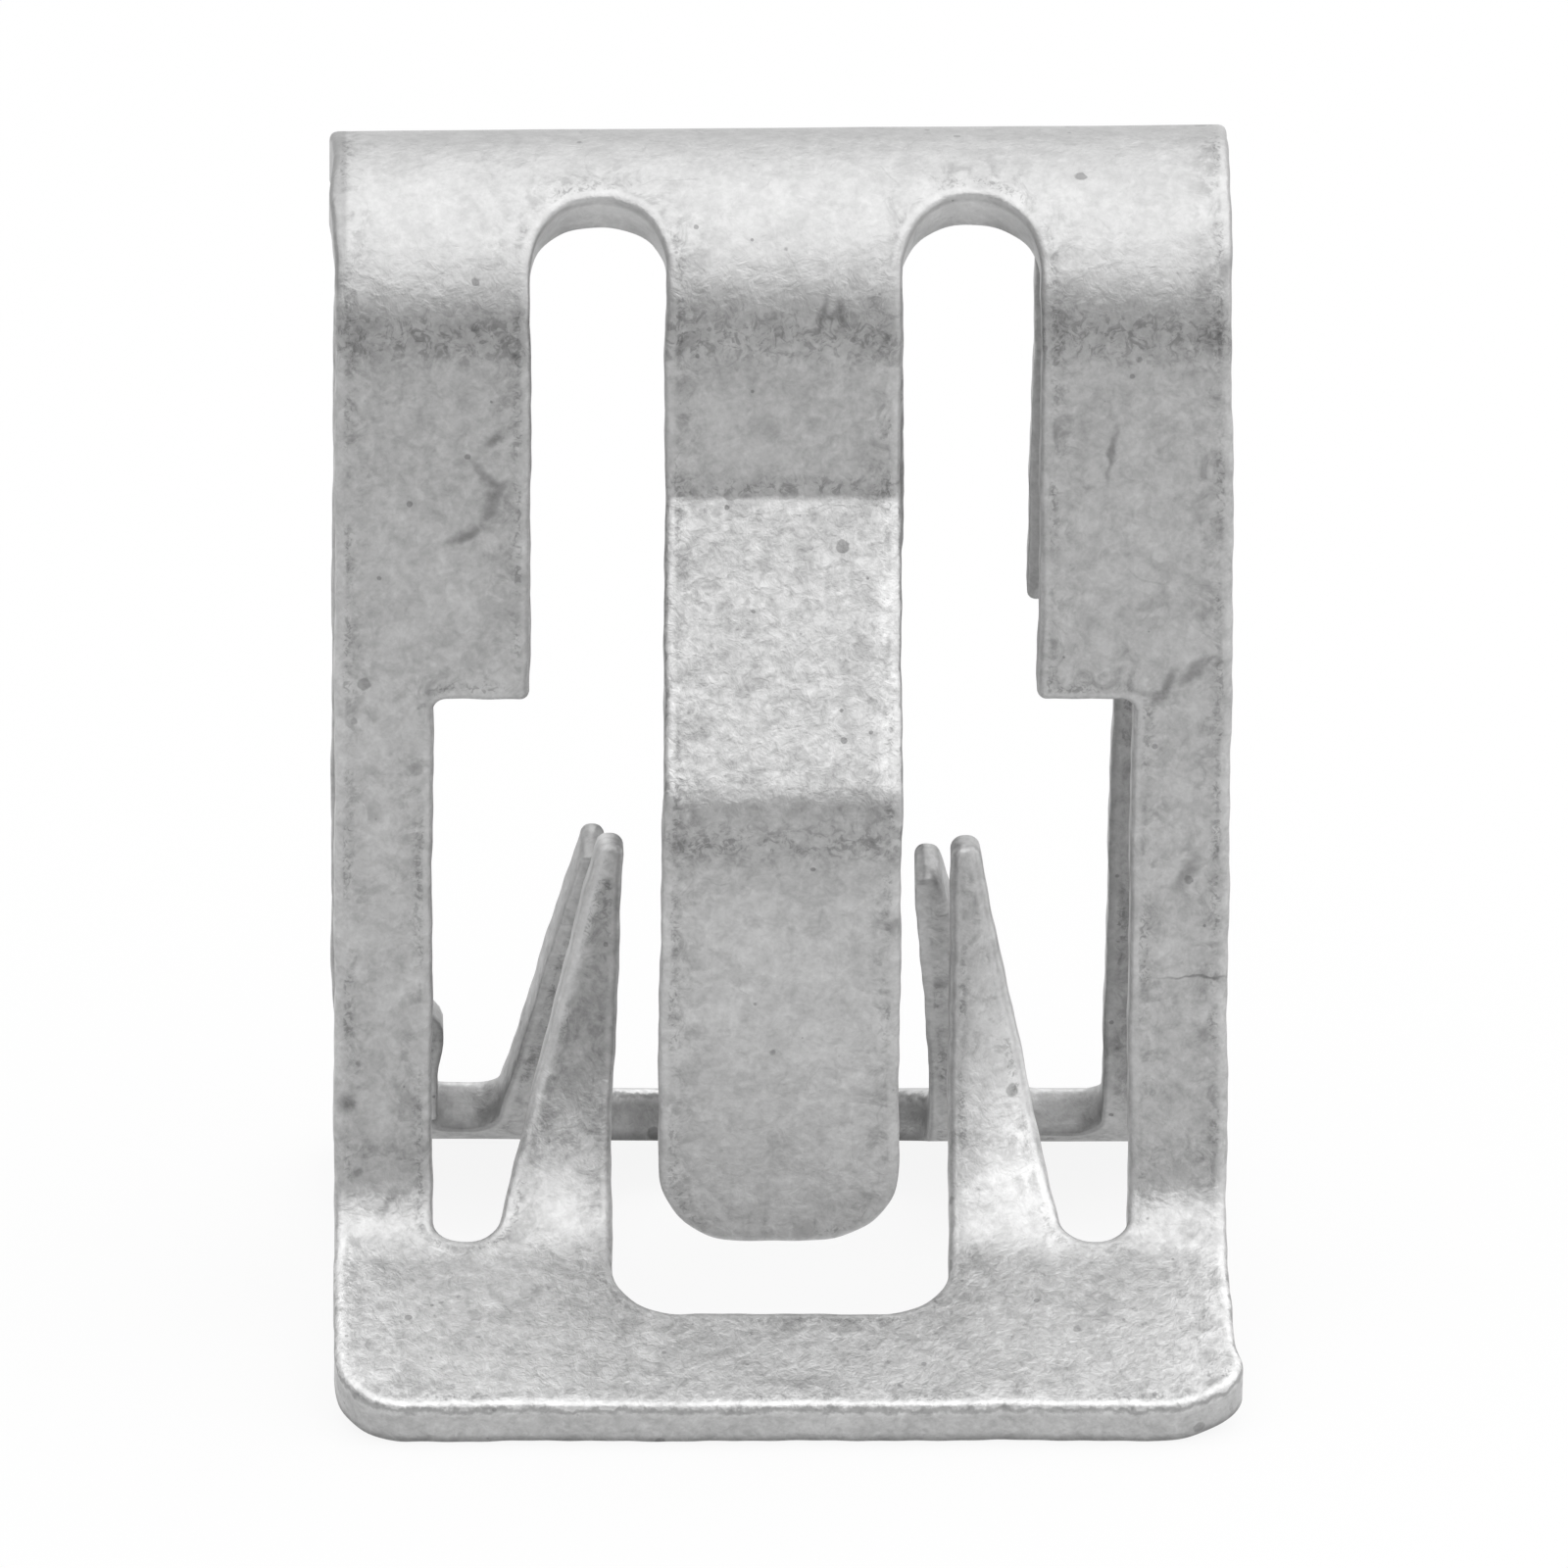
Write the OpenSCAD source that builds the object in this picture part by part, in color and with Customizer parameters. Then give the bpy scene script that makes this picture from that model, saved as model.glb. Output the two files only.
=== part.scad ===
// Retaining clip: one strip of spring steel, stamped and folded into a U. It stands on two
// flared feet with its rounded nose up. X runs across the strip, the front leg faces -Y,
// and the origin is on the floor, midway between the legs.

/* [Strip] */
// Thickness of the sheet
sheet_t = 0.7; // [0.5:0.05:0.8]
// Width across the strip
strip_w = 12; // [11.4:0.1:16]
// Height from the floor to the top of the nose
clip_h = 16.7; // [16:0.1:24]
// Clear gap between the two legs
leg_gap = 3; // [2.9:0.1:4]

/* [Feet] */
// Angle that each foot turns outward from its leg, in degrees
foot_splay = 67.5; // [60:0.5:75]
// Inside radius of the bend above each foot
foot_bend_r = 1.35; // [1:0.05:1.6]
// Length of the flat part of each foot
foot_run = 2.6; // [2.2:0.1:4]
// Radius of the two outer corners of each foot
foot_corner_r = 0.95; // [0.3:0.05:1.4]

/* [Tongues] */
// Width of each tongue where it leaves the nose
tongue_w = 3.1; // [2.6:0.02:3.6]
// Width that each tongue gains towards its free end
tongue_flare = 0.14; // [0:0.02:0.3]
// Distance from the middle of the nose down to the crease that starts each ramp
crease_drop = 1.94; // [1.4:0.02:2.4]
// Angle that the ramp of each tongue leans outward, in degrees
ramp_lean = 33; // [20:1:40]
// Length of the ramp from the crease to the shoulder
ramp_run = 4.2; // [3:0.1:4.6]
// Angle that each tongue leans back inward below its shoulder, in degrees
return_lean = 12; // [6:1:14]
// Length of each tongue from its shoulder to its free end
return_run = 7.2; // [5:0.1:7.4]
// Inside radius of the crease
crease_r = 0.35; // [0.2:0.05:0.6]
// Inside radius of the shoulder
shoulder_r = 0.3; // [0.2:0.05:0.8]
// Radius of the two corners at the free end of each tongue
tongue_end_r = 1.15; // [0.4:0.05:1.25]

/* [Slots] */
// Width of the slot on each side of a tongue
slot_w = 1.85; // [1.2:0.05:1.9]
// Direction from the middle of the nose to the top of each slot, in degrees above level
slot_top_angle = 59; // [50:1:66]

/* [Windows] */
// Width of the low window in each leg
window_w = 9.36; // [8.8:0.02:9.8]
// Distance from the middle of the nose down to the top edge of the window
window_drop = 4.97; // [4:0.05:6]
// Radius of the upper corners of the window
window_top_r = 0.15; // [0.05:0.05:0.4]
// Place of the lower edge of the small windows on the foot bend, in degrees from the leg
small_window_angle = 50; // [44:1:56]
// Radius of the lower corners of the small windows
small_window_r = 0.45; // [0.2:0.05:0.45]
// Width of the middle window between the barbs
mid_window_w = 4.54; // [4.4:0.02:4.7]
// Width of the bar that the middle window leaves along the foot's edge
foot_bar_w = 1.7; // [1.2:0.05:1.9]
// Radius of the lower corners of the middle window
mid_window_r = 0.9; // [0.3:0.05:1.1]

/* [Barbs] */
// Angle that the front leg's barbs lean inward, in degrees
front_barb_lean = 18; // [14:0.5:19]
// Angle that the back leg's barbs lean inward, in degrees
back_barb_lean = 27; // [23:0.5:27.5]
// Length of the straight part of each barb
barb_run = 4.85; // [3.5:0.05:4.9]
// Width of each barb at its tip
barb_tip_w = 0.34; // [0.3:0.02:0.4]
// Width that each barb gains for every millimetre below its tip
barb_taper = 0.225; // [0.1:0.005:0.24]
// Distance that the inner edge of each barb comes in towards the middle at its tip
barb_inset = 0.06; // [0:0.01:0.1]
// Sideways set of the front barbs' tips, towards +X
front_tip_set = 0.14; // [0:0.02:0.2]
// Clear gap across the strip between the tip of a front barb and the back barb's beside it
barb_tip_gap = 0.2; // [0.16:0.01:0.3]

/* [Hidden] */
$fn = 96;
// Places in the section plane, as distance outward from the middle and height
half_depth = leg_gap / 2 + sheet_t;
nose_z = clip_h - half_depth;
bend_p = half_depth + foot_bend_r;
bend_z = (foot_bend_r + sheet_t) * sin(foot_splay) + foot_run * cos(foot_splay);
foot_edge_p = bend_p - foot_bend_r * cos(foot_splay) + foot_run * sin(foot_splay);
foot_edge_z = sheet_t * sin(foot_splay);
crease_z = nose_z - crease_drop;
window_top_z = nose_z - window_drop;
shoulder_p = half_depth + ramp_run * sin(ramp_lean);
shoulder_z = crease_z - ramp_run * cos(ramp_lean);
tongue_end_p = shoulder_p - return_run * sin(return_lean);
tongue_end_z = shoulder_z - return_run * cos(return_lean);
// Straight stretches that the bends leave along the outer face
crease_tangent = crease_r * tan(ramp_lean / 2);
crease_top = crease_z + crease_tangent;
shoulder_tangent = (shoulder_r + sheet_t) * tan((ramp_lean + return_lean) / 2);
ramp_straight = ramp_run - crease_tangent - shoulder_tangent;
// Lines across the strip
tongue_half = tongue_w / 2;
slot_middle = tongue_half + slot_w / 2;
slot_outer = tongue_half + slot_w;
mid_half = mid_window_w / 2;
window_half = window_w / 2;
barb_inner = mid_half - barb_inset;
barb_outer = barb_inner + barb_tip_w;
back_tip_set = barb_tip_w + barb_tip_gap - front_tip_set;
// How far cutters run past what they cut, and straight steps round a quarter turn
past = 0.5;
through = sheet_t + past;
bend_cut_r = foot_bend_r + sheet_t + past;
// How far the outline of each barb runs on below the place where the barb leaves the bend
barb_root = foot_bend_r + past;
// Sets the barbs' roots back a little from the edges of the middle window
barb_relief = 0.02;
corner_steps = 10;
// Straight lengths run this far into the bends next to them, so that no seam is left
seam_lap = 0.0002;

// One straight length of the section, drawn along its mid-line
module run_section(length) {
    translate([-seam_lap, -sheet_t / 2])
        square([length + 2 * seam_lap, sheet_t]);
}

// One bend of the section: a ring sector that turns left when the angle is positive
module bend_section(turn, inside_r) {
    side = sign(turn);
    outer = inside_r + sheet_t;
    far = 2 * outer;
    translate([0, side * (inside_r + sheet_t / 2)])
        intersection() {
            difference() {
                circle(r = outer);
                circle(r = inside_r);
            }
            polygon([
                [0, 0],
                [0, -side * far],
                [far * sin(abs(turn) / 2), -side * far * cos(turn / 2)],
                [far * sin(abs(turn)), -side * far * cos(turn)]
            ]);
        }
}

// A folded section: each step is [straight length, turn after it, inside radius of that turn]
module folded_section(steps, i = 0) {
    length = steps[i][0];
    turn = steps[i][1];
    mid_r = sign(turn) * (steps[i][2] + sheet_t / 2);
    if (length > 0)
        run_section(length);
    if (i < len(steps) - 1)
        translate([length, 0]) {
            bend_section(turn, steps[i][2]);
            translate([0, mid_r])
                rotate(turn)
                    translate([0, -mid_r])
                        folded_section(steps, i + 1);
        }
}

// Gives a drawn section its width: its X becomes outward, towards -Y, and its Y becomes up
module across(width) {
    rotate([90, 0, -90])
        linear_extrude(width, center = true)
            children();
}

// Stands on the outer face at a place of the section: local Y runs up along the sheet, and
// local Z points out of the face, at that many degrees above level
module on_face(p, z, angle) {
    translate([0, -p, z])
        rotate([90 - angle, 0, 0])
            children();
}

// Places children on the foot bend, at that many degrees round it from the leg
module on_bend(angle) {
    on_face(bend_p - foot_bend_r * cos(angle), bend_z - foot_bend_r * sin(angle), angle)
        children();
}

// Extrudes a drawn outline through the sheet, from behind the outer face to in front of it
module punch(behind = through, front = past) {
    translate([0, 0, -behind])
        linear_extrude(behind + front)
            children();
}

// A place on a line through the middle of the foot bend, that far from it
function ray(angle, r) = [bend_p - r * cos(angle), bend_z - r * sin(angle)];

// Points of a quarter turn round a corner's centre
function quarter(x, y, r, from) = [
    for (i = [0 : corner_steps])
        [x + r * cos(from + 90 * i / corner_steps), y + r * sin(from + 90 * i / corner_steps)]
];

// What rounding a corner at the origin leaves, for a hole that opens towards +X and +Y
module corner_waste(r) {
    difference() {
        translate([-past, -past])
            square(r + past);
        translate([r, r])
            circle(r = r);
    }
}

// Half of the bare strip, from the top of the nose to the edge of the foot
module half_strip() {
    across(strip_w) {
        translate([0, nose_z])
            intersection() {
                difference() {
                    circle(r = half_depth);
                    circle(r = leg_gap / 2);
                }
                square(half_depth + past);
            }
        translate([half_depth - sheet_t / 2, nose_z])
            rotate(-90)
                folded_section([[nose_z - bend_z, foot_splay, foot_bend_r], [foot_run, 0, 0]]);
    }
}

// The round top of a slot, square to the nose, and the straight slot below it
module slot() {
    slot_r = slot_w / 2;
    on_face(half_depth * cos(slot_top_angle), nose_z + half_depth * sin(slot_top_angle),
            slot_top_angle)
        punch(half_depth + past)
            translate([0, -slot_r]) {
                circle(r = slot_r);
                translate([-slot_r, -half_depth])
                    square([slot_w, half_depth]);
            }
    across(slot_w)
        translate([leg_gap / 2 - past, window_top_z - past])
            square([sheet_t + 2 * past, window_drop + past]);
}

// The open field round the tongue and the barbs, above the foot bend
module window_field(lean) {
    inner = leg_gap / 2 - past;
    outer = half_depth + past;
    difference() {
        across(window_w)
            polygon([
                ray(lean, 0),
                ray(lean, bend_cut_r),
                [inner, bend_z],
                [inner, window_top_z],
                [outer, window_top_z],
                [outer, bend_z]
            ]);
        for (side = [0, 1])
            on_face(half_depth, window_top_z, 0)
                mirror([side, 0, 0])
                    translate([-window_half, 0])
                        rotate(-90)
                            punch(through + past, 2 * past)
                                corner_waste(window_top_r);
    }
    across(2 * slot_outer)
        translate([inner, window_top_z - past])
            square([outer - inner, crease_top - window_top_z + past]);
}

// The window round the foot bend, with the small windows' round ends beside the barbs
module window_bend(tip_set, lean) {
    difference() {
        across(window_w)
            polygon([
                ray(0, 0),
                ray(small_window_angle, bend_cut_r),
                ray(lean / 2, bend_cut_r)
            ]);
        barb_prisms(tip_set, lean);
        on_bend(small_window_angle)
            punch(2 * through, foot_bend_r)
                for (side = [0, 1])
                    mirror([side, 0, 0]) {
                        translate([barb_outer + barb_taper * barb_run, 0])
                            corner_waste(small_window_r);
                        translate([window_half, 0])
                            mirror([1, 0, 0])
                                corner_waste(small_window_r);
                    }
    }
}

// The middle window, down to the bar along the foot's edge
module window_middle(lean) {
    bar_p = foot_edge_p - foot_bar_w * sin(foot_splay);
    bar_z = foot_edge_z + foot_bar_w * cos(foot_splay);
    face = [cos(foot_splay), sin(foot_splay)];
    difference() {
        across(mid_window_w)
            polygon([
                [bar_p, bar_z] + foot_bend_r * face,
                [bar_p, bar_z] - through * face,
                ray(foot_splay, bend_cut_r),
                ray(lean, bend_cut_r),
                ray(0, 0)
            ]);
        on_face(bar_p, bar_z, foot_splay)
            punch(2 * through, 2 * foot_bend_r)
                for (side = [0, 1])
                    mirror([side, 0, 0])
                        translate([-mid_half, 0])
                            corner_waste(mid_window_r);
    }
}

// What the two round outer corners of the foot leave out
module foot_corners() {
    on_face(foot_edge_p, foot_edge_z, foot_splay)
        punch()
            for (side = [0, 1])
                mirror([side, 0, 0])
                    translate([-strip_w / 2, 0])
                        corner_waste(foot_corner_r);
}

// The tongue: crease, ramp, shoulder and return, with a flared outline and a round free end
module tongue() {
    end_half = tongue_half + tongue_flare / 2;
    corner_x = end_half - tongue_end_r;
    top = (half_depth - tongue_end_p) * sin(return_lean)
        + (crease_z - tongue_end_z) * cos(return_lean);
    intersection() {
        across(strip_w)
            translate([half_depth - sheet_t / 2, crease_top])
                rotate(-90)
                    folded_section([
                        [0, ramp_lean, crease_r],
                        [ramp_straight, -ramp_lean - return_lean, shoulder_r],
                        [return_run - shoulder_tangent, 0, 0]
                    ]);
        on_face(tongue_end_p, tongue_end_z, -return_lean)
            punch(2 * half_depth, half_depth)
                polygon(concat(
                    quarter(-corner_x, tongue_end_r, tongue_end_r, 180),
                    quarter(corner_x, tongue_end_r, tongue_end_r, 270),
                    [
                        [tongue_half, top],
                        [tongue_half, 2 * top],
                        [-tongue_half, 2 * top],
                        [-tongue_half, top]
                    ]
                ));
    }
}

// The outlines of the two barbs of one leg, extruded square to their faces
module barb_prisms(tip_set, lean) {
    tip_r = barb_tip_w / 2;
    tip_x = barb_inner + tip_r;
    root_inner = mid_half + barb_relief;
    on_bend(lean)
        punch(2 * through, through)
            for (side = [-1, 1])
                polygon(concat(
                    [[side * root_inner, past], [side * root_inner, -barb_root]],
                    [[side * (barb_outer + barb_taper * (barb_run + barb_root)), -barb_root]],
                    [
                        for (i = [0 : 2 * corner_steps])
                            [
                                side * (tip_x + tip_r * cos(90 * i / corner_steps)) + tip_set,
                                barb_run - tip_r + tip_r * sin(90 * i / corner_steps)
                            ]
                    ]
                ));
}

// The two barbs of one leg, straight from the foot bend to their tips
module barbs(tip_set, lean) {
    intersection() {
        across(strip_w)
            translate(ray(lean, foot_bend_r + sheet_t / 2))
                rotate(90 + lean)
                    run_section(barb_run);
        barb_prisms(tip_set, lean);
    }
}

// One leg with its half of the nose, its tongue and its barbs
module leg(tip_set, lean) {
    difference() {
        half_strip();
        for (side = [-1, 1])
            translate([side * slot_middle, 0, 0])
                slot();
        window_field(lean);
        window_bend(tip_set, lean);
        window_middle(lean);
        foot_corners();
    }
    tongue();
    barbs(tip_set, lean);
}

// The whole clip: the back leg is turned half round from the front one
module retaining_clip() {
    color("silver") {
        leg(front_tip_set, front_barb_lean);
        rotate([0, 0, 180])
            leg(back_tip_set, back_barb_lean);
    }
}

retaining_clip();
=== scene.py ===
"""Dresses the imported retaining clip: the folded sheet in fine mesh, its zinc coating, light, floor and camera."""

import math

import bmesh
import bpy
import numpy as np
from mathutils import Matrix, Vector
from mathutils.geometry import delaunay_2d_cdt


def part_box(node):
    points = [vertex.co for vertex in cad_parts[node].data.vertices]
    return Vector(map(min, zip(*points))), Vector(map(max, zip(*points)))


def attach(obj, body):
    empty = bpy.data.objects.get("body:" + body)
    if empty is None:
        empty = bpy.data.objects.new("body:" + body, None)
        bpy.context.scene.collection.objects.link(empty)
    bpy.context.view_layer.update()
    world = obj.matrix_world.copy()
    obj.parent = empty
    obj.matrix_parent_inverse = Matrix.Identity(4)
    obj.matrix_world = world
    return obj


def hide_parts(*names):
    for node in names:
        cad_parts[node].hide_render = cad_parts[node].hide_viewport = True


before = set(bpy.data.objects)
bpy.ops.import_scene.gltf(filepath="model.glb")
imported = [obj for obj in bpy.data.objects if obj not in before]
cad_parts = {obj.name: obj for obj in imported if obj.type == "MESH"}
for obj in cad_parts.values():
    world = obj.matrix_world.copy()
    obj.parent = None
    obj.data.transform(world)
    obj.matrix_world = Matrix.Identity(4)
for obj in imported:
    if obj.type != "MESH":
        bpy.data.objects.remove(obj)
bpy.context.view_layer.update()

NODE = "retaining_clip"
_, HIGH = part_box(NODE)
MM = 0.001

# Sizes in mm and degrees. The box gives the outer ones. The rest repeat the part's own values, some of them with a
# small change read from the photo.
STRIP_HALF = HIGH.x / MM
CLIP_H = HIGH.z / MM
SHEET = 0.7
LEG_GAP = 3.0
NOSE_R = LEG_GAP / 2
NOSE_Z = CLIP_H - NOSE_R - SHEET
FOOT_SPLAY = 67.5
FOOT_BEND_R = 1.35
FOOT_RUN = 2.6
FOOT_CORNER_R = 0.95
BEND_Z = (FOOT_BEND_R + SHEET) * math.sin(math.radians(FOOT_SPLAY)) + FOOT_RUN * math.cos(math.radians(FOOT_SPLAY))
RAMP_LEAN = 33.0
RAMP_RUN = 4.3
RETURN_LEAN = 12.0
RETURN_RUN = 7.02
CREASE_R = 0.3
CREASE_Z = NOSE_Z - 2.03
SHOULDER_R = 0.1
TONGUE_HALF = 1.57
TONGUE_END_HALF = 1.62
TONGUE_END_R = 1.15
SLOT_OUTER = 3.4
SLOT_TOP_ANGLE = 57.0
WINDOW_HALF = 4.68
WINDOW_TOP_Z = NOSE_Z - 4.985
WINDOW_TOP_R = 0.17
STEP_R = 0.13
SMALL_WINDOW_ANGLE = 48.5
SMALL_WINDOW_R = 0.45
MID_HALF = 2.27
MID_R = 0.9
FOOT_BAR = 1.78

# The four barbs, by leg (1 front, -1 back) and side (1 right): inner and outer edge of the tip, outer edge at the
# root, mean lean and length from there, lean at the root and at the tip, twist, and curl per mm
BARBS = {
    (1, 1): {"inner": 2.32, "outer": 2.67, "root": 3.83, "lean": 16.5, "run": 4.69,
             "low": 36.0, "high": 10.2, "twist": 12.0, "curl": 0.42},
    (1, -1): {"inner": 2.09, "outer": 2.43, "root": 3.88, "lean": 16.0, "run": 4.72,
              "low": 36.0, "high": 9.65, "twist": 14.0, "curl": 0.0},
    (-1, 1): {"inner": 1.93, "outer": 2.27, "root": 3.55, "lean": 26.8, "run": 4.79,
              "low": 26.8, "high": 26.8, "twist": 0.0, "curl": 0.0},
    (-1, -1): {"inner": 2.24, "outer": 2.55, "root": 3.65, "lean": 23.8, "run": 4.74,
               "low": 23.8, "high": 23.8, "twist": 0.0, "curl": 0.0},
}

# Length over which a barb's lean changes, how far above its root the inner edge starts to taper and with what radius,
# how far its middle line shifts outward from tip to root, and its tip's radius as a share of the tip's width
BARB_CURVE = 3.0
KINK = 0.5
KINK_R = 2.0
BARB_SPREAD = 0.6
TIP_ROUND = 0.49

# Areas of the flat sheet: half width that holds a tongue, half width that holds a barb, and how far below the
# window's top edge the barbs' area starts
TONGUE_SPAN = 1.76
BARB_SPAN = 4.4
BARB_CLEAR = 0.3

# Mesh: steps along edges and rows, rise of a row and clearance of the rings in steps, and the edge's profile as
# (distance in from the edge, depth below the outer face)
EDGE_STEP = 0.1
GRID_STEP = 0.125
ROW_RISE = 0.87
GRID_CLEAR = 0.6
ROLL = [(0.11, 0.0), (0.06, 0.01), (0.025, 0.035), (0.006, 0.075), (0.0, 0.12)]
WALL = [(0.0, 0.35), (0.0, SHEET - 0.04), (0.03, SHEET)]
RINGS = ROLL + WALL

# Unevenness of stamped edges and of faces: length and height of each wave, and seeds
EDGE_WAVES = [(3.1, 0.008), (1.3, 0.005), (0.55, 0.004)]
EDGE_SEEDS = (11, 12, 13)
ACROSS_WAVES = [(5.3, 0.006), (2.1, 0.003)]
ACROSS_SEED = 5
DOWN_WAVES = [(4.7, 0.006), (1.7, 0.003)]
DOWN_SEED = 6

# How the real clip departs from the ideal one, in mm, and in degrees for the skew
BACK_SKEW = 0.85
BACK_SHIFT = 0.02
BACK_TONGUE_SHIFT = 0.07
BACK_RAMP_SHIFT = 0.05
FRONT_TONGUE_SHIFT = -0.04
BACK_TRIM = 0.13
BACK_FOOT_TRIM = 0.09
BACK_FOOT_LIFT = 0.035
BACK_RAIL = 0.06
BACK_BUMP = 0.25
NOSE_RISE = 0.03
NOSE_TILT = 0.05
SWAY = 0.012

# Side edges: how far they stand out at nose and foot, swells as (height, middle along the leg, width), and where
# their effect starts across the strip
RIGHT_NOSE = -0.07
RIGHT_FOOT = 0.02
RIGHT_SWELLS = [(0.04, 17.6, 0.8), (0.18, 18.5, 0.5)]
LEFT_NOSE = 0.03
LEFT_SWELLS = [(0.04, 0.85, 0.35)]
EDGE_FADE = 3.6

# Grey of the zinc coating, linear, and how much each kind of mark or painted shade darkens it; the top of the nose,
# the feet's walls and the back leg's low edges and inner face are painted shade
ZINC_GREY = 0.46
DARKER = {
    "specks": 0.30, "scratches": 0.11, "marks": 0.40, "grime": 0.26, "beside_edge": 0.32, "nose_top_shade": 0.06,
    "foot_wall_shade": 0.21, "back_edge_shade": 0.26, "back_face_shade": 0.20, "nose_lip": 0.26,
}

# How much brighter or darker the coating is painted, mostly painted light: highlights at the foot bend, barb roots,
# the left barb's edge and the ramp's rim; light low on legs, tongue ends and right barb; shade below the nose and on
# the left barb; plain brighter tone on the left leg and darker on the ramp
PAINTED_LIGHT_AND_TONE = {
    "foot_bend": 0.14, "low_leg_light": 0.05, "left_leg": 0.055, "below_nose_shade": -0.10,
    "barb_root": 0.50, "root_edge_highlight": 0.16, "barb_ridge_highlight": 0.70, "left_barb_shade": -0.13, "right_barb_light": 0.06,
    "tongue_end_light": 0.14, "ramp": -0.09, "ramp_rim_highlight": 0.30, "above_tongue_shade": -0.08,
}

# How crazed the coating is beside each bend
CRAZED = {"crease": 1.2, "shoulder": 1.2, "foot_bend": 0.6, "nose": 1.2}

# Clouds of the coating: scale per mm, detail, roughness, distortion and height of each noise
CLOUDS = [(2.1, 4.0, 0.62, 0.5, 0.40), (5.2, 3.0, 0.60, 0.9, 0.56), (13.0, 3.0, 0.65, 0.3, 0.40)]

# Specks: cells per mm, least radius and how much larger the largest is, in cells
SPECKS = [(1.25, 0.02, 0.13), (2.6, 0.02, 0.12)]

# Lights: name, place, size and radiance, in metres
LIGHTS = [
    ("overhead", (0.05, -0.045, 0.42), (1.10, 0.87), 1.12),
    ("right_box", (0.45, -0.10, 0.16), (0.34, 0.34), 0.45),
]

# The dark card, in metres and degrees round from the front
CARD_RADIUS = 0.60
CARD_HEIGHT = 0.20
CARD_FROM = -105
CARD_TO = 20
CARD_STEPS = 24
CARD_GREY = 0.08

# Floor and world: half size in metres, and how bright they are when seen or mirrored and as light on the clip
FLOOR_HALF = 3.0
FLOOR_GLOW = 0.89
FLOOR_MATTE = 0.10
FLOOR_PLAIN = 0.80
WORLD_SEEN = 1.0
WORLD_PLAIN = 0.42

# Camera, fitted to the photograph's outline: 1600 by 1600 pixels
FRAME_PX = 1600
PX_PER_MM = 75.774
CAM_ELEVATION = 22.489
CAM_YAW = 1.243
CAM_ROLL = 0.45
CAM_DISTANCE = 401.9
CENTRE_PX = 795.267
AIM_Z = 7.411
SENSOR = 36.0


def folded_path(steps):
    """Pieces of a folded section that starts on top of the nose: (start, length, point, heading, signed radius)."""
    pieces = []
    place = np.array([0.0, CLIP_H - SHEET / 2])
    heading = 0.0
    at = 0.0
    for length, turn, inside_r in steps:
        if length > 0:
            pieces.append((at, length, place.copy(), heading, 0.0))
            place = place + length * np.array([math.cos(heading), math.sin(heading)])
            at += length
        if turn:
            radius = math.copysign(inside_r + SHEET / 2, turn)
            arc = abs(radius) * math.radians(abs(turn))
            pieces.append((at, arc, place.copy(), heading, radius))
            side = np.array([-math.sin(heading), math.cos(heading)])
            centre = place + radius * side
            heading += math.radians(turn)
            place = centre - radius * np.array([-math.sin(heading), math.cos(heading)])
            at += arc
    return pieces


def along(pieces, s):
    """Mid-line points and headings at the distances s along a folded section."""
    point = np.zeros((len(s), 2))
    heading = np.zeros(len(s))
    for k, (start, length, place, first, radius) in enumerate(pieces):
        inside = s >= start if k else np.ones(len(s), bool)
        d = s[inside] - start
        if radius:
            d = np.clip(d, 0.0, length)
            turn = first + d / radius
            point[inside, 0] = place[0] - radius * math.sin(first) + radius * np.sin(turn)
            point[inside, 1] = place[1] + radius * math.cos(first) - radius * np.cos(turn)
        else:
            turn = np.full(len(d), first)
            point[inside, 0] = place[0] + d * math.cos(first)
            point[inside, 1] = place[1] + d * math.sin(first)
        heading[inside] = turn
    return point, heading


def reach(pieces):
    """Distance along a folded section to its end."""
    return pieces[-1][0] + pieces[-1][1]


CREASE_TANGENT = CREASE_R * math.tan(math.radians(RAMP_LEAN / 2))
SHOULDER_TANGENT = (SHOULDER_R + SHEET) * math.tan(math.radians((RAMP_LEAN + RETURN_LEAN) / 2))
NOSE_TURN = [0.0, -90.0, NOSE_R]
LEG_PATH = folded_path([
    NOSE_TURN,
    [NOSE_Z - BEND_Z, FOOT_SPLAY, FOOT_BEND_R],
    [FOOT_RUN, 0.0, 0.0],
])
TONGUE_PATH = folded_path([
    NOSE_TURN,
    [NOSE_Z - CREASE_Z - CREASE_TANGENT, RAMP_LEAN, CREASE_R],
    [RAMP_RUN - CREASE_TANGENT - SHOULDER_TANGENT, -RAMP_LEAN - RETURN_LEAN, SHOULDER_R],
    [RETURN_RUN - SHOULDER_TANGENT, 0.0, 0.0],
])
MID_BEND_R = FOOT_BEND_R + SHEET / 2
S_NOSE = (NOSE_R + SHEET / 2) * math.pi / 2
S_CREASE = S_NOSE + NOSE_Z - CREASE_Z - CREASE_TANGENT
S_SLOT = (NOSE_R + SHEET / 2) * math.radians(90 - SLOT_TOP_ANGLE)
S_WINDOW = S_NOSE + NOSE_Z - WINDOW_TOP_Z
S_BEND = S_NOSE + NOSE_Z - BEND_Z
S_SMALL = S_BEND + MID_BEND_R * math.radians(SMALL_WINDOW_ANGLE)
S_EDGE = reach(LEG_PATH)
S_MID = S_EDGE - FOOT_BAR
S_TONGUE = reach(TONGUE_PATH)
S_SHOULDER = TONGUE_PATH[4][0] + TONGUE_PATH[4][1] / 2
S_BARBS = S_WINDOW + BARB_CLEAR
S_GAP = (S_TONGUE + S_MID) / 2


def s_barb(lean):
    """Distance along the leg at which its foot bend has turned by that lean."""
    return S_BEND + MID_BEND_R * math.radians(lean)


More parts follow.
